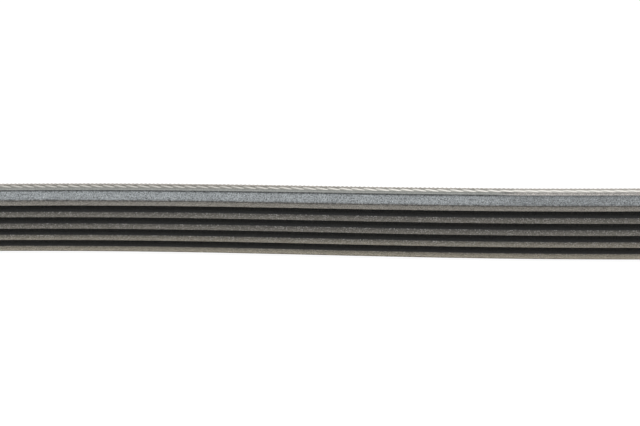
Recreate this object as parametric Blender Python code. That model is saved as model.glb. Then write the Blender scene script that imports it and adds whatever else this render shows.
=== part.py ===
"""Multi-rib drive belt with five V ribs, an endless loop standing on its cut edge.

Run it with: blender --background --python part.py, or from Blender's text editor.

Metres, +Z up. The origin is on the surface that the belt stands on, at the centre of the loop.
The two long strands run along X, the ribs face the inside of the loop and the smooth back faces
out. The belt is one vulcanised piece, so it is one object: a closed section swept round the loop.
"""

import math

import bpy

# The belt section. The base runs from the back to the groove bottoms, and the ribs stand on it.
RIB_COUNT = 5
RIB_PITCH = 0.00356
BASE_THICKNESS = 0.0024
RIB_HEIGHT = 0.0021
FLANK_ANGLE = math.radians(20)
GROOVE_RADIUS = 0.00038
RIB_CORNER_RADIUS = 0.00015
BACK_CORNER_RADIUS = 0.0002

# The loop, measured along the tension cords.
BELT_LENGTH = 0.970
CORD_DEPTH = 0.0011
LOOP_WIDTH = 0.104
STRAND_SWAY = 0.00075

# How finely the round stretches are divided.
GROOVE_STEPS = 4
CORNER_STEPS = 2
BEND_STEPS = 28
STRAND_STEPS = 12
ARC_SUBSTEPS = 40

# Black rubber, matt from grinding.
RUBBER_COLOUR = (0.045, 0.045, 0.043, 1.0)
RUBBER_ROUGHNESS = 0.75


def belt_width():
    """The belt is cut along the middle of a groove on both sides, so it is whole pitches wide."""
    return RIB_COUNT * RIB_PITCH


def belt_thickness():
    return BASE_THICKNESS + RIB_HEIGHT


def rib_tip_width():
    """What the two flanks and the round bottom of a groove leave of the pitch."""
    rise = (1 - math.sin(FLANK_ANGLE)) * math.tan(FLANK_ANGLE)
    groove_bottom = 2 * GROOVE_RADIUS * (math.cos(FLANK_ANGLE) - rise)
    return RIB_PITCH - groove_bottom - 2 * RIB_HEIGHT * math.tan(FLANK_ANGLE)


def arc(centre, radius, start, end, steps):
    """Points on an arc, both of its ends included. Angles are in radians."""
    across, deep = centre
    points = []
    for step in range(steps + 1):
        angle = start + (end - start) * step / steps
        points.append((across + radius * math.cos(angle), deep + radius * math.sin(angle)))
    return points


def rib_outline(middle):
    """The two rounded corners of one rib's tip, from its low side to its high side."""
    turn = math.pi / 2 - FLANK_ANGLE
    reach = rib_tip_width() / 2 - RIB_CORNER_RADIUS * math.tan(turn / 2)
    deep = belt_thickness() - RIB_CORNER_RADIUS
    tip = math.pi / 2
    low = arc((middle - reach, deep), RIB_CORNER_RADIUS, tip + turn, tip, CORNER_STEPS)
    high = arc((middle + reach, deep), RIB_CORNER_RADIUS, tip, tip - turn, CORNER_STEPS)
    return low + high


def groove_outline(middle, start, end, steps):
    """The round bottom of a groove, or the half of it that a cut side leaves."""
    return arc((middle, BASE_THICKNESS + GROOVE_RADIUS), GROOVE_RADIUS, start, end, steps)


def back_corner(side, start, end):
    """One of the two rounded corners of the back. The side is -1 for the low one, 1 for the high."""
    middle = side * (belt_width() / 2 - BACK_CORNER_RADIUS)
    return arc((middle, BACK_CORNER_RADIUS), BACK_CORNER_RADIUS, start, end, CORNER_STEPS)


def section_outline():
    """The belt's closed section as (across, deep) points: across its width from the middle, and
    inwards from its back. The ribs come first, from the low side, and then the back."""
    half_width = belt_width() / 2
    low_flank = math.pi + FLANK_ANGLE
    high_flank = 2 * math.pi - FLANK_ANGLE
    bottom = 1.5 * math.pi
    half_steps = GROOVE_STEPS // 2
    points = groove_outline(-half_width, bottom, high_flank, half_steps)
    for rib in range(RIB_COUNT):
        middle = (rib + 0.5) * RIB_PITCH - half_width
        points += rib_outline(middle)
        if rib < RIB_COUNT - 1:
            points += groove_outline(middle + RIB_PITCH / 2, low_flank, high_flank, GROOVE_STEPS)
    points += groove_outline(half_width, low_flank, bottom, half_steps)
    return points + back_corner(1, 0, -math.pi / 2) + back_corner(-1, -math.pi / 2, -math.pi)


def bend_heading(share):
    """The belt's heading at a share of a bend's length, from 0 at the near strand to half a turn
    at the far one. The bend is tightest in its middle and straight at both ends, as in a free
    elastic loop."""
    return math.pi / 2 * (1 - math.cos(math.pi * share))


def bend_shares():
    """The middles of the short straight steps that a bend is made of."""
    substeps = BEND_STEPS * ARC_SUBSTEPS
    return [(substep + 0.5) / substeps for substep in range(substeps)]


def bend_length():
    """The length that takes the bend from the near strand to the far one, a loop's width away."""
    shares = bend_shares()
    return LOOP_WIDTH * len(shares) / sum(math.sin(bend_heading(share)) for share in shares)


def strand_length():
    return BELT_LENGTH / 2 - bend_length()


def strand_points():
    """The near strand, from left to right, with the slight sway of a belt laid down by hand."""
    length = strand_length()
    highest = 4 / (3 * math.sqrt(3))
    points = []
    for step in range(STRAND_STEPS):
        share = step / STRAND_STEPS
        sway = math.sin(2 * math.pi * share) * math.sin(math.pi * share) / highest
        points.append(((share - 0.5) * length, STRAND_SWAY * sway - LOOP_WIDTH / 2))
    return points


def bend_points():
    """The right-hand bend, from the near strand to the far one."""
    shares = bend_shares()
    length = bend_length() / len(shares)
    along, across = strand_length() / 2, -LOOP_WIDTH / 2
    points = []
    for substep, share in enumerate(shares):
        if substep % ARC_SUBSTEPS == 0:
            points.append((along, across))
        along += length * math.cos(bend_heading(share))
        across += length * math.sin(bend_heading(share))
    return points


def cord_line():
    """The closed line of the tension cords in plan, anticlockwise. Its far half is its near half
    turned by half a turn about the origin."""
    half = strand_points() + bend_points()
    return half + [(-along, -across) for along, across in half]


def closed_curve(name, points, dimensions):
    curve = bpy.data.curves.new(name, "CURVE")
    curve.dimensions = dimensions
    spline = curve.splines.new("POLY")
    spline.points.add(len(points) - 1)
    for point, place in zip(spline.points, points):
        point.co = (*place, 1.0)
    spline.use_cyclic_u = True
    return bpy.data.objects.new(name, curve)


def rubber():
    material = bpy.data.materials.new("rubber")
    material.use_nodes = True
    shader = material.node_tree.nodes["Principled BSDF"]
    shader.inputs["Base Color"].default_value = RUBBER_COLOUR
    shader.inputs["Roughness"].default_value = RUBBER_ROUGHNESS
    shader.inputs["Metallic"].default_value = 0.0
    return material


def collection(name):
    made = bpy.data.collections.new(name)
    bpy.context.scene.collection.children.link(made)
    return made


def section_guide(guides):
    """The section as a flat curve, its X across the belt's thickness and its Y across its width."""
    points = [(CORD_DEPTH - deep, across, 0.0) for across, deep in section_outline()]
    guide = closed_curve("belt_section", points, "2D")
    guide.hide_render = True
    guide.display_type = "WIRE"
    guides.objects.link(guide)
    return guide


def ribbed_belt(parts, guides):
    """The whole belt: its section swept along the line of its cords."""
    points = [(along, across, 0.0) for along, across in cord_line()]
    belt = closed_curve("ribbed_belt", points, "3D")
    belt.data.twist_mode = "Z_UP"
    belt.data.bevel_mode = "OBJECT"
    belt.data.bevel_object = section_guide(guides)
    belt.location.z = belt_width() / 2
    belt.data.materials.append(rubber())
    parts.objects.link(belt)
    return belt


def main():
    for thing in list(bpy.data.objects):
        bpy.data.objects.remove(thing)
    ribbed_belt(collection("drive_belt"), collection("guides"))


main()
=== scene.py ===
"""Looks of a ribbed drive belt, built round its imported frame.

The belt stands on one cut edge. Its ribs face the inside of the loop, and the camera looks over
the near strand at the inside of the far one. A point of the belt is named by three lengths: arc,
round the loop from the middle of the far strand; across, up its width from the lower cut edge; and
deep, inwards from its back.

Run it as a script. It adds the rubber body, the cords at the cut edges and the backing fabric, and
then the floor, the light and the camera.
"""

import math

import bmesh
import bpy
import numpy as np
from bpy.props import FloatProperty, FloatVectorProperty, IntProperty, PointerProperty
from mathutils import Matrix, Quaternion, Vector


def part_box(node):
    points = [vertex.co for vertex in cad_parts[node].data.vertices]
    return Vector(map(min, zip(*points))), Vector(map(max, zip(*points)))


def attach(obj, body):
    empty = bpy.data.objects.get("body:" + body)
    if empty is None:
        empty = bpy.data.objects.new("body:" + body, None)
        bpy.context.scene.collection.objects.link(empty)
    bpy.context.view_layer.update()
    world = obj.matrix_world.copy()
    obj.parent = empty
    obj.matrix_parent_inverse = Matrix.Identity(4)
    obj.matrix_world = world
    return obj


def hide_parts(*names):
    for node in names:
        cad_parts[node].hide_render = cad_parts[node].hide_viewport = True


bl_info = {
    "name": "Ribbed drive belt",
    "version": (1, 0, 0),
    "blender": (4, 5, 0),
    "location": "View3D > Sidebar > Drive Belt",
    "description": "Adds the rubber body, edge cords and backing fabric of a ribbed drive belt",
    "category": "Add Mesh",
}

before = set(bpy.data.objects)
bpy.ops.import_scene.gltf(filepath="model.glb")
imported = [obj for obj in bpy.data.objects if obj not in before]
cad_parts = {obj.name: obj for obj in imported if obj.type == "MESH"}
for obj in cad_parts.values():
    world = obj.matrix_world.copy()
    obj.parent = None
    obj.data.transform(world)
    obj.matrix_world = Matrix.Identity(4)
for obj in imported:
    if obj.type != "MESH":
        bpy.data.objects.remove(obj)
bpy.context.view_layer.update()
BELT_NODE = "ribbed_belt"
BODY = "root"
BELT_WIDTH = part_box(BELT_NODE)[1].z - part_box(BELT_NODE)[0].z
LOOP_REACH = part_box(BELT_NODE)[1].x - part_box(BELT_NODE)[0].x
LOOP_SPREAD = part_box(BELT_NODE)[1].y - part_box(BELT_NODE)[0].y
MILLIMETRES = 1000.0

# Points along each strand and each bend of the cord line.
DENSE_STEPS = 6000

# Steps of half a groove's round bottom and of a rib tip's corner, and points of a cord's channel.
GROOVE_STEPS, TIP_STEPS, CHANNEL_POINTS = 3, 4, 9

# Points round a ply, and stations for each turn of the twist.
PLY_POINTS, TURN_STATIONS = 11, 16

# Points up the back, and stations for each thread of the fabric.
BACK_POINTS, THREAD_STATIONS = 13, 4

# Points of a ring that lie nearer to each other than this, in metres, are merged.
MERGE_DISTANCE = 1e-7

# Most of a Noise texture lies between these.
NOISE_LOW, NOISE_HIGH = 0.3, 0.7


def linear(hex_colour):
    """An sRGB hex colour as linear red, green, blue and alpha."""
    channels = [int(hex_colour[start : start + 2], 16) / 255 for start in (1, 3, 5)]
    curve = [c / 12.92 if c <= 0.04045 else ((c + 0.055) / 1.055) ** 2.4 for c in channels]
    return (*curve, 1.0)


def length(name, description, default):
    return FloatProperty(
        name=name, description=description, default=default, unit="LENGTH", precision=5
    )


def angle(name, description, degrees):
    return FloatProperty(
        name=name, description=description, default=math.radians(degrees), subtype="ANGLE"
    )


def colour(name, description, hex_colour):
    return FloatVectorProperty(
        name=name, description=description, default=linear(hex_colour), size=4, subtype="COLOR"
    )


class BeltSection(bpy.types.PropertyGroup):
    """The belt's section, across its width and inwards from its back."""

    rib_count: IntProperty(name="Ribs", description="V ribs side by side", default=5)
    base: length("Base", "From the back to the groove bottoms", 0.0024)
    rib_height: length("Rib height", "From a groove's bottom to the rib tips", 0.0021)
    flank_angle: angle("Flank", "A flank's slope", 20)
    groove_radius: length("Groove radius", "Round bottom of a groove", 0.00038)
    tip_radius: length("Tip radius", "Worn corners of the rib tips", 0.00016)
    ledge: length("Ledge", "Ground border of the cut edges, beside the outer flanks", 0.0001)
    back_radius: length("Back radius", "Corners of the back", 0.0002)
    fabric: length("Fabric", "Thickness of the backing fabric", 0.0005)


class BeltLoop(bpy.types.PropertyGroup):
    """The loop that the belt stands in, along the line of its cords."""

    cord_depth: length("Cord depth", "From the back to the cord line", 0.0011)
    sway: length("Sway", "How far the strands wander from straight", 0.00075)
    stations: IntProperty(name="Stations", description="Sections of the rubber", default=900)


class EdgeCord(bpy.types.PropertyGroup):
    """The tension cord that each cut edge lays bare."""

    radius: length("Radius", "Outside of the twisted cord", 0.00054)
    plies: IntProperty(name="Plies", description="Strands twisted together", default=3)
    turns: IntProperty(name="Turns", description="Turns of the twist round the belt", default=124)
    depth: length("Depth", "From the back to the cord's middle", 0.00095)
    sink: length("Sink", "From a cut edge to the cord's middle", 0.0004)
    proud: length("Proud", "How far the upper cord stands above the cut", 0.00005)
    channel: length("Channel", "Radius of the adhesive round the cord", 0.00058)
    shrink: length("Shrink", "How far the adhesive lies below a cut edge", 0.00004)


class TornStrip(bpy.types.PropertyGroup):
    """Where the strip beside the upper cord is torn, along the arc from the far strand's middle."""

    start: length("Start", "Where the tear begins", 0.0368)
    full: length("Full", "Where the strip is torn through", 0.0417)
    close: length("Close", "Where the strip begins to heal", 0.148)
    end: length("End", "Where the tear ends", 0.160)
    fall: length("Fall", "How far the torn strip has sunk", 0.00004)


class BackingFabric(bpy.types.PropertyGroup):
    """The woven backing, with threads that run slantwise across the belt."""

    thread: length("Thread", "From one thread to the next along the belt", 0.00092)
    relief: length("Relief", "Height of a thread's crown", 0.0001)
    stand: length("Stand", "How far the fabric stands above the upper cut", 0.00004)
    swell: length("Swell", "How much more it stands where a film of adhesive is on it", 0.00012)
    rise: length("Rise", "How far a thread's end stands above the rest of the fabric", 0.00011)
    slant: angle("Slant", "Threads against straight across", 30)


class BeltColours(bpy.types.PropertyGroup):
    """Colours of the rubber, the cords and the fabric."""

    groove: colour("Groove", "Black rubber in the grooves", "#41413F")
    # The outer flank's bluish tint is a painted reflection of the cool light from above.
    flank: colour("Outer flank", "Ground flank beside a cut edge, bluish grey", "#8E9191")
    # Tip colours: the lowest ribs' lighter, warmer tips are painted light from the floor below
    # them.
    upper_tip: colour("Upper tips", "Rubbed tip of the uppermost rib", "#9C978F")
    middle_tip: colour("Middle tips", "Tips that are rubbed less", "#78746D")
    lower_tip_floor_lit: colour("Lower tips", "Rubbed tips of the lowest ribs, warmer", "#ACA494")
    cut: colour("Cut", "Cut rubber of the edges", "#94948E")
    torn: colour("Torn", "Paler rubber where the strip is torn", "#ADA7A0")
    fleck: colour("Fleck", "Ends of the short fibres in the rubber", "#CCCAC4")
    # Also the colour of the painted shade in the ledges and at the tear's lip.
    crumb_and_shade: colour("Crumb", "Dark crumbs along a cut corner", "#2E2E2D")
    cord: colour("Cord", "Polyester cord", "#F4EEE4")
    # The cord gap colour is partly painted shade between the plies.
    cord_gap: colour("Cord gap", "Adhesive between the plies", "#ABA89E")
    film: colour("Film", "Grey adhesive smeared over the cord", "#837F76")
    fabric: colour("Fabric", "Rubbered backing threads", "#3B3A38")
    # Thread crowns are lighter partly as painted light where they stand out.
    fabric_crown: colour("Thread crown", "Rubbed crowns of the threads", "#6A6762")
    fabric_end: colour("Thread end", "Cut ends of the threads", "#BFB7AD")


class StudioStage(bpy.types.PropertyGroup):
    """The floor, the light and the camera."""

    elevation: angle("Elevation", "How steeply the camera looks down", 43.25)
    heading: angle("Heading", "Camera to the right of straight across the strands", 8.45)
    roll: angle("Roll", "Camera turned about its own axis", -5.65)
    distance: length("Distance", "From the camera to what it aims at", 0.2386)
    aim_depth: length("Aim depth", "Aim, inwards from the far strand's back", 0.0022)
    aim_height: length("Aim height", "Aim, above the floor", 0.01177)
    lens: FloatProperty(
        name="Lens", description="Focal length on a 36 mm sensor", default=61.9, unit="CAMERA"
    )
    key_power: FloatProperty(
        name="Key", description="Power of the overhead light", default=10.5, unit="POWER"
    )
    key_size: length("Key size", "Side of the overhead light", 0.9)
    key_height: length("Key height", "Overhead light above the floor", 1.1)
    key_back: length("Key back", "Overhead light behind the far strand", -0.1)
    room: FloatProperty(name="Room", description="Strength of the room's light", default=0.28)
    floor_size: length("Floor size", "Side of the floor", 6.0)
    floor_glow: FloatProperty(
        name="Floor glow", description="White that the camera sees", default=1.15
    )
    floor_share: FloatProperty(
        name="Glow share", description="Share of it in the floor", default=0.82, subtype="FACTOR"
    )
    key_tint: colour("Key tint", "Colour of the overhead light", "#F6FAFF")
    floor_tint: colour("Floor tint", "Colour of the floor", "#F3F0EA")


GROUPS = {
    "belt_section": BeltSection,
    "belt_loop": BeltLoop,
    "edge_cord": EdgeCord,
    "torn_strip": TornStrip,
    "backing_fabric": BackingFabric,
    "belt_colours": BeltColours,
    "studio_stage": StudioStage,
}


def bend_heading(share):
    """How far the belt has turned at a share of a bend's length: a free elastic bend."""
    return math.pi / 2 * (1 - np.cos(math.pi * share))


class LoopLine:
    """The cord line in plan, clockwise, so that arc grows towards +X along the far strand."""

    def __init__(self, loop):
        middles = (np.arange(DENSE_STEPS) + 0.5) / DENSE_STEPS
        turn = bend_heading(middles)

        # A bend is as long as it takes to span the loop. Its reach is how far it stands out.
        width = LOOP_SPREAD - 2 * (loop.cord_depth + loop.sway)
        bend = width / np.mean(np.sin(turn))
        reach = bend * np.sum(np.cos(turn[: DENSE_STEPS // 2])) / DENSE_STEPS
        strand = LOOP_REACH - 2 * (loop.cord_depth + reach)

        # The sway is the product of two sines, over the highest that it gets.
        share = np.linspace(0, 1, DENSE_STEPS, endpoint=False)
        highest = 4 / (3 * math.sqrt(3))
        sway = loop.sway * np.sin(2 * math.pi * share) * np.sin(math.pi * share) / highest
        strand_x = (share - 0.5) * strand
        strand_y = width / 2 + sway
        step = bend / DENSE_STEPS
        bend_x = strand / 2 + step * np.concatenate([[0], np.cumsum(np.cos(turn))[:-1]])
        bend_y = width / 2 - step * np.concatenate([[0], np.cumsum(np.sin(turn))[:-1]])

        # The far strand and the right-hand bend. The rest is the same, turned by half a turn.
        half = np.stack([np.concatenate([strand_x, bend_x]), np.concatenate([strand_y, bend_y])], 1)
        line = np.concatenate([half, -half, half[:1]])
        gaps = np.linalg.norm(np.diff(line, axis=0), axis=1)
        arc = np.concatenate([[0], np.cumsum(gaps)])
        self.line = line
        self.length = arc[-1]

        # Arc is 0 at the middle of the far strand.
        self.start = -arc[DENSE_STEPS // 2]
        self.arc = arc + self.start
        ahead = np.roll(line[:-1], -1, axis=0) - np.roll(line[:-1], 1, axis=0)
        ahead /= np.linalg.norm(ahead, axis=1)[:, None]
        self.ahead = np.concatenate([ahead, ahead[:1]])

    def place(self, arc, across, deep, cord_depth):
        """World points for arrays of arc, across and deep."""
        wrapped = (arc - self.start) % self.length + self.start
        x, y = (np.interp(wrapped, self.arc, self.line[:, axis]) for axis in (0, 1))
        along_x, along_y = (np.interp(wrapped, self.arc, self.ahead[:, axis]) for axis in (0, 1))
        inwards = deep - cord_depth
        return np.stack([x + along_y * inwards, y - along_x * inwards, across], -1)


def ease(low, high, values):
    """A smooth step from 0 at low to 1 at high."""
    share = np.clip((values - low) / (high - low), 0, 1)
    return share * share * (3 - 2 * share)


def arc_points(middle, radius, start, end, steps):
    """Points on an arc as (across, deep), both ends included."""
    angles = np.linspace(start, end, steps + 1)
    return [(middle[0] + radius * math.cos(a), middle[1] + radius * math.sin(a)) for a in angles]


def swept_ring(name, arc, across, deep, crown=None):
    """A closed ring from a grid of points: one row for each point of the section, one column for
    each station. The first and last row and column fall together and are merged. The attribute
    belt_place keeps each corner's arc, across and deep in millimetres. A crown, if it is given,
    says how far each point stands out, from 0 to 1."""
    scene = bpy.context.scene
    line = LoopLine(scene.belt_loop)
    rows, columns = arc.shape

    # The grid gives the faces. Its points then go to their places on the belt.
    grid = bmesh.new()
    bmesh.ops.create_grid(grid, x_segments=columns - 1, y_segments=rows - 1, size=0.5)
    mesh = bpy.data.meshes.new(name)
    grid.to_mesh(mesh)
    grid.free()
    points = line.place(arc, across, deep, scene.belt_loop.cord_depth)
    mesh.vertices.foreach_set("co", points.reshape(-1).astype(np.float32))
    corners = np.empty(len(mesh.loops), np.int32)
    mesh.loops.foreach_get("vertex_index", corners)
    own = np.stack([arc, across, deep], -1).reshape(-1, 3) * MILLIMETRES
    place = mesh.attributes.new("belt_place", "FLOAT_VECTOR", "CORNER")
    place.data.foreach_set("vector", own[corners].reshape(-1).astype(np.float32))
    if crown is not None:
        stand = mesh.attributes.new("crown", "FLOAT", "CORNER")
        stand.data.foreach_set("value", crown.reshape(-1)[corners].astype(np.float32))
    ring = bmesh.new()
    ring.from_mesh(mesh)
    bmesh.ops.remove_doubles(ring, verts=ring.verts, dist=MERGE_DISTANCE)
    bmesh.ops.recalc_face_normals(ring, faces=ring.faces)
    for face in ring.faces:
        face.smooth = True
    ring.to_mesh(mesh)
    ring.free()
    return mesh


def belt_length():
    return LoopLine(bpy.context.scene.belt_loop).length


def station_arcs(count):
    """Stations evenly round the belt. The ring closes at the middle of the near strand."""
    return np.linspace(-0.5, 0.5, count + 1) * belt_length()


def torn(arc):
    """How far the strip beside the upper cord is torn at each arc, from 0 to 1."""
    tear = bpy.context.scene.torn_strip
    return ease(tear.start, tear.full, arc) * (1 - ease(tear.close, tear.end, arc))


# Waves run round the belt. There is no film of adhesive where a wave is above the first of these
# heights, and the film is whole where it is below the second.
FILM_WAVES = 2
FILM_NONE, FILM_WHOLE = 0.2, -0.3


def filmed(arc):
    """How far the film of adhesive covers the edge at each arc, from 0 to 1."""
    return ease(FILM_NONE, FILM_WHOLE, np.sin(2 * math.pi * FILM_WAVES * arc / belt_length()))


def tip_width(section, pitch):
    """What the two flanks and the round bottom of a groove leave of the pitch."""
    rise = (1 - math.sin(section.flank_angle)) * math.tan(section.flank_angle)
    bottom = 2 * section.groove_radius * (math.cos(section.flank_angle) - rise)
    return pitch - bottom - 2 * section.rib_height * math.tan(section.flank_angle)


def finish_piece(name, meshes, material):
    """One object from one or more meshes, in one material, riding on the belt."""
    joined = bmesh.new()
    for mesh in meshes:
        joined.from_mesh(mesh)
        bpy.data.meshes.remove(mesh)
    whole = bpy.data.meshes.new(name)
    joined.to_mesh(whole)
    joined.free()
    piece = bpy.data.objects.new(name, whole)
    bpy.context.scene.collection.objects.link(piece)
    whole.materials.append(material)
    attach(piece, BODY)
    return piece


def add_node(tree, kind, inputs=None, **settings):
    """Adds a node with its settings. An input takes a socket, a node for its first output, or a
    plain value."""
    node = tree.nodes.new(kind)
    for name, value in settings.items():
        setattr(node, name, value)
    for name, value in (inputs or {}).items():
        if isinstance(value, bpy.types.Node):
            value = value.outputs[0]
        if isinstance(value, bpy.types.NodeSocket):
            tree.links.new(value, node.inputs[name])
        else:
            node.inputs[name].default_value = value
    return node


def new_material(name):
    """A material with its node tree and its Principled shader."""
    material = bpy.data.materials.new(name)
    material.use_nodes = True
    return material, material.node_tree, material.node_tree.nodes["Principled BSDF"]


# Inputs of a Mix node, for numbers and for colours, and its output for colours.
FACTOR, FLOAT_FIRST, FLOAT_SECOND = 0, 2, 3
FIRST, SECOND, MIXED = 6, 7, 2


def ground_rubber():
    """Ground EPDM rubber: matt, grey where it is rubbed, black in the grooves. The ends of its
    short fibres show as pale flecks, and grinding leaves faint lines along the belt."""
    colours = bpy.context.scene.belt_colours
    material, tree, shader = new_material("ground EPDM rubber")
    place = add_node(tree, "ShaderNodeAttribute", attribute_name="belt_place").outputs["Vector"]
    body, exposed, face = rubber_colour(tree, place)
    grain, fibres = rubber_grain(tree, place, face)
    shaded = add_node(tree, "ShaderNodeVectorMath", {0: body, "Scale": grain}, operation="SCALE")

    # Cut ends of fibres lie on half of the 0.3 mm cells. They are drawn 0.2 mm across, so that they
    # show.
    cells = add_node(tree, "ShaderNodeTexVoronoi", {"Vector": place, "Scale": 3.2})
    near = add_node(tree, "ShaderNodeMapRange", {0: cells, 1: 0.42, 2: 0.2, 4: 0.9})
    chosen = add_node(tree, "ShaderNodeSeparateColor", {0: cells.outputs["Color"]})
    chosen = add_node(tree, "ShaderNodeMath", {0: chosen, 1: 0.5}, operation="GREATER_THAN")
    fleck = add_node(tree, "ShaderNodeMath", {0: near, 1: chosen}, operation="MULTIPLY")
    fleck = add_node(tree, "ShaderNodeMath", {0: fleck, 1: exposed}, operation="MULTIPLY")
    layer = {FACTOR: fleck, FIRST: shaded, SECOND: colours.fleck}
    speckled = add_node(tree, "ShaderNodeMix", layer, data_type="RGBA").outputs[MIXED]

    # Dark lines: crumbs along the outer flanks' corners, and painted shade in the ledges and at the
    # tear's lip.
    layer = {FACTOR: dark_lines(tree, place, fibres), FIRST: speckled, SECOND: colours.crumb_and_shade}
    final = add_node(tree, "ShaderNodeMix", layer, data_type="RGBA").outputs[MIXED]
    rise = add_node(tree, "ShaderNodeMath", {0: fibres, 1: fleck}, operation="ADD")
    bump = add_node(tree, "ShaderNodeBump", {"Height": rise, "Strength": 0.4, "Distance": 0.00006})
    tree.links.new(final, shader.inputs["Base Color"])
    tree.links.new(bump.outputs[0], shader.inputs["Normal"])
    shader.inputs["Roughness"].default_value = 0.72
    shader.inputs["IOR"].default_value = 1.5
    return material


def rubber_grain(tree, place, face):
    """How the surface lightens and darkens, and the noise of its fibres alone. The knife left the
    cut faces calmer than the grinding left the rest, apart from the torn stretch."""
    shade = 1.0
    noises = []
    for stretch, low, high in (
        ((8.0, 4.2, 4.2), 0.2, 1.8),  # fibres that the grinding drew up the flanks, 0.12 mm wide
        ((0.9, 4.4, 4.4), 0.82, 1.18),  # dashes that the grinding left along the belt, 1 mm long
        ((0.28, 0.6, 0.6), 0.94, 1.06),  # patches of 2 to 4 mm that were rubbed more
    ):
        drawn = add_node(tree, "ShaderNodeVectorMath", {0: place, 1: stretch}, operation="MULTIPLY")
        drawn = {"Vector": drawn, "Scale": 1.0, "Detail": 1.0}
        noises.append(add_node(tree, "ShaderNodeTexNoise", drawn))
        shift = {0: noises[-1], 1: NOISE_LOW, 2: NOISE_HIGH, 3: low, 4: high}
        change = add_node(tree, "ShaderNodeMapRange", shift, clamp=False)
        shade = add_node(tree, "ShaderNodeMath", {0: shade, 1: change}, operation="MULTIPLY")
    calm = add_node(tree, "ShaderNodeMapRange", {0: torn_share(tree, place), 3: 0.65, 4: 0.25})
    calm = add_node(tree, "ShaderNodeMath", {0: face, 1: calm}, operation="MULTIPLY")
    blend = {FACTOR: calm, FLOAT_FIRST: shade, FLOAT_SECOND: 1.0}
    return add_node(tree, "ShaderNodeMix", blend, data_type="FLOAT"), noises[0]


def rubber_colour(tree, place):
    """The rubber's colour before its grain, how exposed a place is, and whether it lies on a cut
    face. The tips and the outer flanks are rubbed grey, and the grooves stay black."""
    scene = bpy.context.scene
    colours, section = scene.belt_colours, scene.belt_section
    base, thick = section.base * MILLIMETRES, (section.base + section.rib_height) * MILLIMETRES
    edge, corner = base - section.ledge * MILLIMETRES, outer_corner(section)
    parts = add_node(tree, "ShaderNodeSeparateXYZ", {0: place})
    across, deep = parts.outputs["Y"], parts.outputs["Z"]
    from_middle = distance_from(tree, across, BELT_WIDTH * MILLIMETRES / 2)

    # Each part fades in over 0.1 to 0.15 mm.
    beyond = {0: from_middle, 1: corner - 0.08, 2: corner + 0.03}
    outer = add_node(tree, "ShaderNodeMapRange", beyond)
    tip = add_node(tree, "ShaderNodeMapRange", {0: deep, 1: thick - 0.2, 2: thick - 0.05})
    face = add_node(tree, "ShaderNodeMapRange", {0: deep, 1: edge + 0.05, 2: edge - 0.04})

    # A groove is darker at its mouth than at its bottom: painted shade under the rib above.
    # The outer flank is duller beside the tear.
    mouth = {0: deep, 1: base + 0.7, 2: thick - 0.45, 3: 1.0, 4: 0.2}
    groove = {0: colours.groove[:3], "Scale": add_node(tree, "ShaderNodeMapRange", mouth)}
    body = add_node(tree, "ShaderNodeVectorMath", groove, operation="SCALE")
    torn_here = torn_share(tree, place)
    dull = add_node(tree, "ShaderNodeMapRange", {0: torn_here, 3: 1.0, 4: 0.76})
    # The outer flank's bluish tint is a painted reflection of the cool light from above.
    flank = {0: colours.flank[:3], "Scale": dull}
    flank = add_node(tree, "ShaderNodeVectorMath", flank, operation="SCALE")
    torn_face = add_node(tree, "ShaderNodeMath", {0: face, 1: torn_here}, operation="MULTIPLY")
    for part, tint in (
        (outer, flank),
        (tip, tip_colour(tree, across)),
        (face, colours.cut),
        (torn_face, colours.torn),
    ):
        layer = {FACTOR: part, FIRST: body, SECOND: tint}
        body = add_node(tree, "ShaderNodeMix", layer, data_type="RGBA").outputs[MIXED]

    # The fibres show most on the middle tips, which are the darkest.
    pitch = BELT_WIDTH * MILLIMETRES / section.rib_count
    middle_ribs = {0: from_middle, 1: 1.75 * pitch, 2: 1.25 * pitch, 3: 0.5, 4: 1.0}
    bare = add_node(tree, "ShaderNodeMapRange", middle_ribs)
    bare = add_node(tree, "ShaderNodeMath", {0: bare, 1: tip}, operation="MULTIPLY")
    exposed = add_node(tree, "ShaderNodeMath", {0: outer, 1: 0.25}, operation="MULTIPLY")
    exposed = add_node(tree, "ShaderNodeMath", {0: exposed, 1: bare}, operation="MAXIMUM")
    return body, exposed, face


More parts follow.
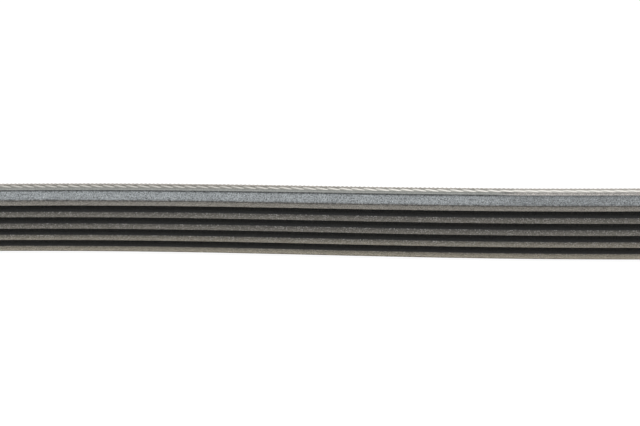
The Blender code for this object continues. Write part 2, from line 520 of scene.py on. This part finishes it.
def tip_colour(tree, across):
    """The tips' colour, which changes from rib to rib: the lowest tips are lighter and warmer,
    painted light from the floor below them. Each tip is darker at its upper side, painted shade,
    and the uppermost one only a little darker."""
    scene = bpy.context.scene
    colours, section = scene.belt_colours, scene.belt_section
    width = BELT_WIDTH * MILLIMETRES
    pitch = width / section.rib_count
    half_tip = tip_width(section, pitch / MILLIMETRES) * MILLIMETRES / 2 / pitch

    # The places of the stops are shares of the belt's width.
    share = add_node(tree, "ShaderNodeMath", {0: across, 1: width}, operation="DIVIDE")
    ribs = add_node(tree, "ShaderNodeValToRGB", {0: share})
    stops = ribs.color_ramp.elements
    # The lowest tips' lighter, warmer colour is painted light from the floor.
    stops[0].position, stops[0].color = 0.1, colours.lower_tip_floor_lit
    stops[1].position, stops[1].color = 0.82, colours.upper_tip
    stops.new(0.45).color = colours.middle_tip
    stops.new(0.75).color = colours.middle_tip

    # A tip has half its colour at its upper side, painted shade, and a little more than all of it
    # lower down, painted light from the floor.
    pitches = add_node(tree, "ShaderNodeMath", {0: across, 1: pitch}, operation="DIVIDE")
    phase = add_node(tree, "ShaderNodeMath", {0: pitches}, operation="FRACT")
    upper_side = {0: phase, 1: 0.52 + half_tip, 2: 0.5 - half_tip, 3: 0.5, 4: 1.35}
    tip_shade_and_light = add_node(tree, "ShaderNodeMapRange", upper_side)
    tip_shade_and_light = add_node(tree, "ShaderNodeMath", {0: tip_shade_and_light, 1: 1.05}, operation="MINIMUM")
    # The uppermost tip is painted with less of this shade.
    top_rib = {0: across, 1: width - pitch, 2: width - 0.9 * pitch, 4: 0.88}
    top_rib_shade_limit = add_node(tree, "ShaderNodeMapRange", top_rib)
    tip_shade_and_light = add_node(tree, "ShaderNodeMath", {0: tip_shade_and_light, 1: top_rib_shade_limit}, operation="MAXIMUM")
    return add_node(tree, "ShaderNodeVectorMath", {0: ribs, "Scale": tip_shade_and_light}, operation="SCALE")


def dark_lines(tree, place, fibres):
    """Ragged dark lines: crumbs along the outer flank's corner, painted shade in the crevice of the
    ledge between that flank and the cut face, and painted shadow at the lip where the strip beside
    the cord begins to tear."""
    scene = bpy.context.scene
    section, cord, tear = scene.belt_section, scene.edge_cord, scene.torn_strip
    parts = add_node(tree, "ShaderNodeSeparateXYZ", {0: place})
    arc, across, deep = parts.outputs
    from_middle = distance_from(tree, across, BELT_WIDTH * MILLIMETRES / 2)

    # Crumbs of rubber are about 0.4 mm long. The corner's line is more ragged than the ledge's.
    crumbs = add_node(tree, "ShaderNodeTexNoise", {"Vector": place, "Scale": 2.4, "Detail": 2.0})
    ragged = {0: crumbs, 1: 0.9, 2: fibres}
    ragged = add_node(tree, "ShaderNodeMath", ragged, operation="MULTIPLY_ADD")
    wander = {0: ragged, 1: -0.6, 2: 0.6}
    wander = add_node(tree, "ShaderNodeMath", wander, operation="MULTIPLY_ADD")
    corner = soft_band(tree, from_middle, outer_corner(section) - 0.07, 0.2, wander)
    # The ledge's line is painted shade in its crevice.
    wander = {0: ragged, 1: -0.25, 2: 0.23}
    wander = add_node(tree, "ShaderNodeMath", wander, operation="MULTIPLY_ADD")
    ledge = soft_band(tree, deep, (section.base - section.ledge) * MILLIMETRES, 0.17, wander)

    torn_here = torn_share(tree, place)
    lines = 0.0
    for line, whole, where_torn in ((corner, 0.88, 0.85), (ledge, 1.0, 0.35)):
        strength = add_node(tree, "ShaderNodeMapRange", {0: torn_here, 3: whole, 4: where_torn})
        line = add_node(tree, "ShaderNodeMath", {0: line, 1: strength}, operation="MULTIPLY")
        lines = add_node(tree, "ShaderNodeMath", {0: lines, 1: line}, operation="MAXIMUM")

    # The shadow beside the cord is black where the tear begins and faint in the torn stretch.
    lip = (cord.depth + math.sqrt(cord.channel**2 - cord.sink**2)) * MILLIMETRES
    gap = soft_band(tree, deep, lip + 0.2, 0.24, 0.0)
    reach = (tear.full - tear.start) * MILLIMETRES
    opening = soft_band(tree, arc, tear.start * MILLIMETRES + 0.72 * reach, 0.5 * reach, 0.0)
    opening = {0: opening, 1: upper_edge(tree, across)}
    opening = add_node(tree, "ShaderNodeMath", opening, operation="MULTIPLY")
    faint = add_node(tree, "ShaderNodeMath", {0: torn_here, 1: 0.3}, operation="MULTIPLY")
    open_here = add_node(tree, "ShaderNodeMath", {0: opening, 1: faint}, operation="MAXIMUM")
    gap = add_node(tree, "ShaderNodeMath", {0: gap, 1: open_here}, operation="MULTIPLY")
    return add_node(tree, "ShaderNodeMath", {0: lines, 1: gap}, operation="MAXIMUM")


def outer_corner(section):
    """Millimetres from the belt's middle to the corner between an outer flank and its tip."""
    pitch = BELT_WIDTH / section.rib_count
    return (BELT_WIDTH - pitch + tip_width(section, pitch)) / 2 * MILLIMETRES


def distance_from(tree, value, line):
    off = add_node(tree, "ShaderNodeMath", {0: value, 1: line}, operation="SUBTRACT")
    return add_node(tree, "ShaderNodeMath", {0: off}, operation="ABSOLUTE")


def soft_band(tree, value, middle, reach, wander):
    """1 near the middle, falling to 0 at the reach, with an edge that wanders."""
    off = {0: distance_from(tree, value, middle), 1: wander}
    off = add_node(tree, "ShaderNodeMath", off, operation="ADD")
    return add_node(tree, "ShaderNodeMapRange", {0: off, 1: reach, 2: reach / 3})


def upper_edge(tree, across):
    half = BELT_WIDTH * MILLIMETRES / 2
    return add_node(tree, "ShaderNodeMath", {0: across, 1: half}, operation="GREATER_THAN")


def torn_share(tree, place):
    """How far the upper strip is torn at a place, from 0 to 1."""
    tear = bpy.context.scene.torn_strip
    parts = add_node(tree, "ShaderNodeSeparateXYZ", {0: place})
    share = upper_edge(tree, parts.outputs["Y"])
    for none, whole in ((tear.start, tear.full), (tear.end, tear.close)):
        limits = {0: parts.outputs["X"], 1: none * MILLIMETRES, 2: whole * MILLIMETRES}
        step = add_node(tree, "ShaderNodeMapRange", limits)
        share = add_node(tree, "ShaderNodeMath", {0: share, 1: step}, operation="MULTIPLY")
    return share


def polyester_cord():
    """Twisted polyester tension cord: pale filaments along each ply and adhesive between them. The
    plies are lighter where they stand out, a painted highlight, and darker between them, painted
    shade. A film of adhesive covers the cord more in some stretches of the belt. Where the strip
    beside the cord is torn, the filaments are spread and pale all over."""
    colours = bpy.context.scene.belt_colours
    material, tree, shader = new_material("polyester cord")
    place = add_node(tree, "ShaderNodeAttribute", attribute_name="belt_place").outputs["Vector"]
    crown = add_node(tree, "ShaderNodeAttribute", attribute_name="crown").outputs["Fac"]

    # A filament is 0.02 mm thick. Bundles 0.1 mm wide and 1.6 mm long are drawn, so that they show.
    bundles = {0: place, 1: (0.6, 9.0, 9.0)}
    bundles = add_node(tree, "ShaderNodeVectorMath", bundles, operation="MULTIPLY")
    filaments = {"Vector": bundles, "Scale": 1.0, "Detail": 2.0}
    filaments = add_node(tree, "ShaderNodeTexNoise", filaments)
    shift = {0: filaments, 1: NOISE_LOW, 2: NOISE_HIGH, 3: 0.88, 4: 1.06}
    streak = add_node(tree, "ShaderNodeMapRange", shift, clamp=False)
    # Lighter where a ply stands out: painted highlight, with painted shade between the plies.
    twisted = add_node(tree, "ShaderNodeMapRange", {0: crown, 1: 0.62, 2: 0.86})
    spread = {0: torn_share(tree, place), 1: 0.45}
    spread = add_node(tree, "ShaderNodeMath", spread, operation="MULTIPLY")
    pale = add_node(tree, "ShaderNodeMath", {0: twisted, 1: spread}, operation="MAXIMUM")
    arc = add_node(tree, "ShaderNodeSeparateXYZ", {0: place})
    wave = 2 * math.pi * FILM_WAVES / (belt_length() * MILLIMETRES)
    wave = add_node(tree, "ShaderNodeMath", {0: arc, 1: wave}, operation="MULTIPLY")
    wave = add_node(tree, "ShaderNodeMath", {0: wave}, operation="SINE")
    covered = add_node(tree, "ShaderNodeMapRange", {0: wave, 1: FILM_NONE, 2: FILM_WHOLE})
    clings = add_node(tree, "ShaderNodeMapRange", {0: pale, 3: 0.9, 4: 0.42})
    covered = add_node(tree, "ShaderNodeMath", {0: covered, 1: clings}, operation="MULTIPLY")
    base = colours.cord_gap
    for part, tint in ((pale, colours.cord), (covered, colours.film)):
        layer = {FACTOR: part, FIRST: base, SECOND: tint}
        base = add_node(tree, "ShaderNodeMix", layer, data_type="RGBA").outputs[MIXED]
    shaded = add_node(tree, "ShaderNodeVectorMath", {0: base, "Scale": streak}, operation="SCALE")
    raised = {"Height": filaments, "Strength": 0.5, "Distance": 0.00004}
    bump = add_node(tree, "ShaderNodeBump", raised)
    tree.links.new(shaded.outputs[0], shader.inputs["Base Color"])
    tree.links.new(bump.outputs[0], shader.inputs["Normal"])
    shader.inputs["Roughness"].default_value = 0.55
    shader.inputs["IOR"].default_value = 1.57
    return material


def rubbered_canvas():
    """Woven backing set in rubber: charcoal threads with crowns that are rubbed and painted lighter
    where they stand out, and pale where they are cut, with painted shade between the cut ends.
    """
    colours = bpy.context.scene.belt_colours
    material, tree, shader = new_material("rubbered canvas")
    place = add_node(tree, "ShaderNodeAttribute", attribute_name="belt_place").outputs["Vector"]
    crown = add_node(tree, "ShaderNodeAttribute", attribute_name="crown").outputs["Fac"]
    parts = add_node(tree, "ShaderNodeSeparateXYZ", {0: place})
    across, deep = parts.outputs["Y"], parts.outputs["Z"]

    # The fuzz of a yarn lies in tufts of about 0.4 mm.
    yarn = add_node(tree, "ShaderNodeTexNoise", {"Vector": place, "Scale": 2.6, "Detail": 3.0})
    # Crowns are lighter: rubbed, and painted light where they stand out.
    worn_and_lit = add_node(tree, "ShaderNodeMath", {0: crown, 1: yarn}, operation="MULTIPLY")
    half = BELT_WIDTH * MILLIMETRES / 2
    thickness = bpy.context.scene.belt_section.fabric * MILLIMETRES
    rim = {0: distance_from(tree, across, half), 1: half - 0.12, 2: half - 0.03}
    cut = add_node(tree, "ShaderNodeMapRange", rim)
    # Cut ends are darker between the crowns: painted shade.
    bare = {0: crown, 1: 0.0, 2: 0.5, 3: 0.85, 4: 1.0}
    glue_line = {0: deep, 1: thickness - 0.2, 2: thickness - 0.05, 3: 1.0, 4: 0.97}
    for share in (bare, glue_line):
        less = add_node(tree, "ShaderNodeMapRange", share)
        cut = add_node(tree, "ShaderNodeMath", {0: cut, 1: less}, operation="MULTIPLY")
    cloth = colours.fabric
    for part, tint in ((worn_and_lit, colours.fabric_crown), (cut, colours.fabric_end)):
        layer = {FACTOR: part, FIRST: cloth, SECOND: tint}
        cloth = add_node(tree, "ShaderNodeMix", layer, data_type="RGBA").outputs[MIXED]
    shift = {0: yarn, 1: NOISE_LOW, 2: NOISE_HIGH, 3: 0.8, 4: 1.2}
    grain = add_node(tree, "ShaderNodeMapRange", shift, clamp=False)
    shaded = add_node(tree, "ShaderNodeVectorMath", {0: cloth, "Scale": grain}, operation="SCALE")
    bump = add_node(tree, "ShaderNodeBump", {"Height": yarn, "Strength": 0.5, "Distance": 0.00005})
    tree.links.new(shaded.outputs[0], shader.inputs["Base Color"])
    tree.links.new(bump.outputs[0], shader.inputs["Normal"])
    shader.inputs["Roughness"].default_value = 0.85
    shader.inputs["IOR"].default_value = 1.5
    return material


class RubberBody(bpy.types.Operator):
    """Adds the rubber body: base, ribs, cut edges and the channels that the cords lie in"""

    bl_idname = "drive_belt.rubber_body"
    bl_label = "Add rubber body"

    def execute(self, context):
        arcs = station_arcs(context.scene.belt_loop.stations)
        across, deep = self.section(context.scene, arcs)
        arc = np.broadcast_to(arcs, across.shape)
        mesh = swept_ring("belt_body", arc, across, deep)
        piece = finish_piece("belt_body", [mesh], ground_rubber())
        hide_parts(BELT_NODE)
        return {"FINISHED"}

    def section(self, scene, arcs):
        """Across and deep for each section point and station, from the low edge up the ribbed side
        and back down the fabric side, closed."""
        section, cord = scene.belt_section, scene.edge_cord
        pitch = BELT_WIDTH / section.rib_count
        slope, radius = section.flank_angle, section.groove_radius
        low, high, bottom = math.pi + slope, 2 * math.pi - slope, 1.5 * math.pi
        groove_deep = section.base + radius
        points = arc_points((0, groove_deep), radius, bottom, high, GROOVE_STEPS)
        for rib in range(section.rib_count):
            points += self.rib_tip(section, pitch, (rib + 0.5) * pitch)
            if rib < section.rib_count - 1:
                groove = ((rib + 1) * pitch, groove_deep)
                points += arc_points(groove, radius, low, high, 2 * GROOVE_STEPS)
        points += arc_points((BELT_WIDTH, groove_deep), radius, low, bottom, GROOVE_STEPS)
        ledge = len(points) - 1
        upper = self.channel(cord, BELT_WIDTH, -1)
        lower = self.channel(cord, 0, 1)
        strip = [(BELT_WIDTH, (section.base + cord.depth + cord.channel) / 2)]

        # The rubber reaches a little into the fabric, so that nothing shows between them.
        in_fabric = section.fabric * 0.8
        points += strip + upper + [(BELT_WIDTH, in_fabric), (0, in_fabric)] + lower
        points.append(points[0])
        across, deep = (np.array(column)[:, None] + 0 * arcs for column in zip(*points))

        # The torn strip sinks at the ledge, and half as far in its middle.
        fall = scene.torn_strip.fall * torn(arcs)
        across[ledge] -= fall
        across[ledge + 1] -= fall / 2
        return across, deep

    def rib_tip(self, section, pitch, middle):
        """The two worn corners of a rib's tip."""
        thick = section.base + section.rib_height
        turn = math.pi / 2 - section.flank_angle
        reach = tip_width(section, pitch) / 2 - section.tip_radius * math.tan(turn / 2)
        deep = thick - section.tip_radius
        top = math.pi / 2
        radius = section.tip_radius
        low = arc_points((middle - reach, deep), radius, top + turn, top, TIP_STEPS)
        return low + arc_points((middle + reach, deep), radius, top, top - turn, TIP_STEPS)

    def channel(self, cord, edge, side):
        """The open channel of a cord, in the order in which the section passes it. The side is 1
        at the low edge and -1 at the high one, which is towards the belt's middle."""
        middle = edge + side * cord.sink
        half = math.acos(cord.sink / cord.channel)
        points = []
        for turn in np.linspace(half, 2 * math.pi - half, CHANNEL_POINTS):
            away = side * math.cos(turn) * cord.channel
            inwards = math.sin(turn) * cord.channel
            points.append((middle - away, cord.depth + inwards))
        return points if side < 0 else points[::-1]


class EdgeCords(bpy.types.Operator):
    """Adds the twisted cord that lies bare in each cut edge"""

    bl_idname = "drive_belt.edge_cords"
    bl_label = "Add edge cords"

    def execute(self, context):
        cord = context.scene.edge_cord
        material = polyester_cord()
        ply_radius = cord.radius / (1 + 1 / math.sin(math.pi / cord.plies))
        wound = cord.radius - ply_radius
        adhesive_limits = (cord.shrink, BELT_WIDTH - cord.shrink)
        ply_limits = (0, BELT_WIDTH + cord.proud)
        for name, middle in (
            ("upper_edge_cord", BELT_WIDTH - cord.sink),
            ("lower_edge_cord", cord.sink),
        ):
            tubes = [self.tube(cord, name, middle, 0, cord.channel, 0, adhesive_limits)]
            for ply in range(cord.plies):
                start = ply / cord.plies
                tubes.append(self.tube(cord, name, middle, wound, ply_radius, start, ply_limits))
            finish_piece(name, tubes, material)
        return {"FINISHED"}

    def tube(self, cord, name, middle, wound, radius, start, limits):
        """One ply, wound about the cord's middle, or the adhesive, which isn't wound. The cut
        shaves off what lies beyond the limits across the belt."""
        arcs = station_arcs(cord.turns * TURN_STATIONS)
        round_tube = np.linspace(0, 2 * math.pi, PLY_POINTS)
        turn = -2 * math.pi * (cord.turns * arcs / belt_length() + start)
        arc = np.broadcast_to(arcs, (len(round_tube), len(arcs)))
        sideways = wound * np.cos(turn) + radius * np.cos(round_tube)[:, None]
        upwards = wound * np.sin(turn) + radius * np.sin(round_tube)[:, None]
        across = np.clip(middle + upwards, *limits)
        crown = np.hypot(sideways, upwards) / cord.radius * (wound > 0)
        return swept_ring(name, arc, across, cord.depth + sideways, crown)


class Backing(bpy.types.Operator):
    """Adds the woven backing fabric with its slanting threads"""

    bl_idname = "drive_belt.backing_fabric"
    bl_label = "Add backing fabric"

    def execute(self, context):
        scene = context.scene
        fabric, section = scene.backing_fabric, scene.belt_section
        threads = round(belt_length() / fabric.thread)
        arcs = station_arcs(threads * THREAD_STATIONS)
        rim = section.back_radius
        face = np.linspace(BELT_WIDTH - rim, rim, BACK_POINTS)
        outer = [(BELT_WIDTH, rim), *[(a, 0) for a in face], (0, rim)]
        high, low = (BELT_WIDTH, section.fabric), (0, section.fabric)
        points = [high, *outer, low, high]
        across, deep = (np.array(column)[:, None] + 0 * arcs for column in zip(*points))
        arc = arcs + (across - BELT_WIDTH / 2) * math.tan(fabric.slant)
        wave = 0.5 - 0.5 * np.cos(2 * math.pi * threads * arcs / belt_length())
        outside = np.array([0, *[1] * len(outer), 0, 0])[:, None]
        rim_share = ease(BELT_WIDTH - 2 * rim, BELT_WIDTH, across)

        # Beside the torn strip the fabric is pulled down, and its threads lie flatter.
        pulled = torn(arc) * rim_share
        wave = wave * (1 - 0.5 * pulled)
        deep = deep + fabric.relief * outside * wave
        crown = 1 - wave

        # The film of adhesive lifts the fabric's edge and levels the threads' ends.
        film = filmed(arc)
        above = (fabric.stand + fabric.swell * film) * (1 - pulled)
        above = above + fabric.rise * crown * (1 - 0.6 * film)
        across = across + rim_share * (above - scene.torn_strip.fall * pulled)
        mesh = swept_ring("backing_fabric", arc, across, deep, crown)
        finish_piece("backing_fabric", [mesh], rubbered_canvas())
        return {"FINISHED"}


def white_floor():
    """White paper sweep. The camera and mirrors see it lighter than it is, so that its shadow is
    faint."""
    stage = bpy.context.scene.studio_stage
    material, tree, shader = new_material("white paper sweep")
    tree.nodes.remove(shader)
    paper = add_node(tree, "ShaderNodeBsdfDiffuse", {"Color": stage.floor_tint})
    glow = add_node(tree, "ShaderNodeEmission", {"Strength": stage.floor_glow})
    seen = seen_directly(tree)
    share = add_node(tree, "ShaderNodeMath", {0: seen, 1: stage.floor_share}, operation="MULTIPLY")
    mixed = add_node(tree, "ShaderNodeMixShader", {0: share, 1: paper, 2: glow})
    tree.links.new(mixed.outputs[0], tree.nodes["Material Output"].inputs["Surface"])
    return material


def seen_directly(tree):
    """1 for what the camera sees itself, in a gloss or through glass, and 0 for lighting."""
    path = add_node(tree, "ShaderNodeLightPath").outputs
    seen = path["Is Camera Ray"]
    for ray in ("Is Glossy Ray", "Is Transmission Ray"):
        either = {0: seen, 1: path[ray]}
        seen = add_node(tree, "ShaderNodeMath", either, operation="MAXIMUM").outputs[0]
    return seen


class Stage(bpy.types.Operator):
    """Adds the white floor, the overhead light, the room's light and the camera"""

    bl_idname = "drive_belt.stage"
    bl_label = "Add stage"

    def execute(self, context):
        stage = context.scene.studio_stage
        self.floor(stage)
        self.key(stage)
        self.room(context.scene, stage)
        self.camera(context.scene, stage)
        context.scene.view_settings.view_transform = "Standard"
        return {"FINISHED"}

    def floor(self, stage):
        sheet = bmesh.new()
        bmesh.ops.create_grid(sheet, x_segments=1, y_segments=1, size=stage.floor_size / 2)
        mesh = bpy.data.meshes.new("floor")
        sheet.to_mesh(mesh)
        sheet.free()
        mesh.materials.append(white_floor())
        floor = bpy.data.objects.new("floor", mesh)
        bpy.context.scene.collection.objects.link(floor)

    def key(self, stage):
        light = bpy.data.lights.new("overhead_light", "AREA")
        light.energy = stage.key_power
        light.size = stage.key_size
        light.color = stage.key_tint[:3]
        lamp = bpy.data.objects.new("overhead_light", light)
        lamp.location = (0, LOOP_SPREAD / 2 + stage.key_back, stage.key_height)
        bpy.context.scene.collection.objects.link(lamp)

    def room(self, scene, stage):
        """An even dim room, white where the camera or a mirror sees it."""
        world = bpy.data.worlds.new("room")
        world.use_nodes = True
        scene.world = world
        tree = world.node_tree
        tree.nodes.clear()
        levels = {0: seen_directly(tree), 3: stage.room, 4: 1.0}
        strength = add_node(tree, "ShaderNodeMapRange", levels)
        white = {"Color": (1, 1, 1, 1), "Strength": strength}
        light = add_node(tree, "ShaderNodeBackground", white)
        output = add_node(tree, "ShaderNodeOutputWorld", {"Surface": light})
        output.is_active_output = True

    def camera(self, scene, stage):
        """Looks over the near strand, down and a little to the left, at the far strand's middle."""
        level = math.cos(stage.elevation)
        right, behind = math.sin(stage.heading) * level, -math.cos(stage.heading) * level
        back = Vector((right, behind, math.sin(stage.elevation)))
        far_back = LOOP_SPREAD / 2 - scene.belt_loop.sway
        aim = Vector((0, far_back - stage.aim_depth, stage.aim_height))
        data = bpy.data.cameras.new("camera")
        data.lens = stage.lens
        data.clip_start = 0.01
        camera = bpy.data.objects.new("camera", data)
        camera.location = aim + back * stage.distance
        camera.rotation_mode = "QUATERNION"
        turned = Quaternion((0, 0, 1), stage.roll)
        camera.rotation_quaternion = (-back).to_track_quat("-Z", "Y") @ turned
        scene.collection.objects.link(camera)
        scene.camera = camera


class BeltPanel(bpy.types.Panel):
    """The belt's pieces and their sizes, in the sidebar"""

    bl_idname = "VIEW3D_PT_drive_belt"
    bl_label = "Drive Belt"
    bl_space_type = "VIEW_3D"
    bl_region_type = "UI"
    bl_category = "Drive Belt"

    def draw(self, context):
        for operator in OPERATORS:
            self.layout.operator(operator.bl_idname)
        for name in GROUPS:
            box = self.layout.box()
            settings = getattr(context.scene, name)
            for key in settings.__annotations__:
                box.prop(settings, key)


OPERATORS = (RubberBody, EdgeCords, Backing, Stage)


def register():
    for kind in (*GROUPS.values(), *OPERATORS, BeltPanel):
        bpy.utils.register_class(kind)
    for name, group in GROUPS.items():
        setattr(bpy.types.Scene, name, PointerProperty(type=group))


def unregister():
    for name in GROUPS:
        delattr(bpy.types.Scene, name)
    for kind in reversed((*GROUPS.values(), *OPERATORS, BeltPanel)):
        bpy.utils.unregister_class(kind)


def main():
    register()
    bpy.ops.drive_belt.rubber_body()
    bpy.ops.drive_belt.edge_cords()
    bpy.ops.drive_belt.backing_fabric()
    bpy.ops.drive_belt.stage()


if __name__ == "__main__":
    main()
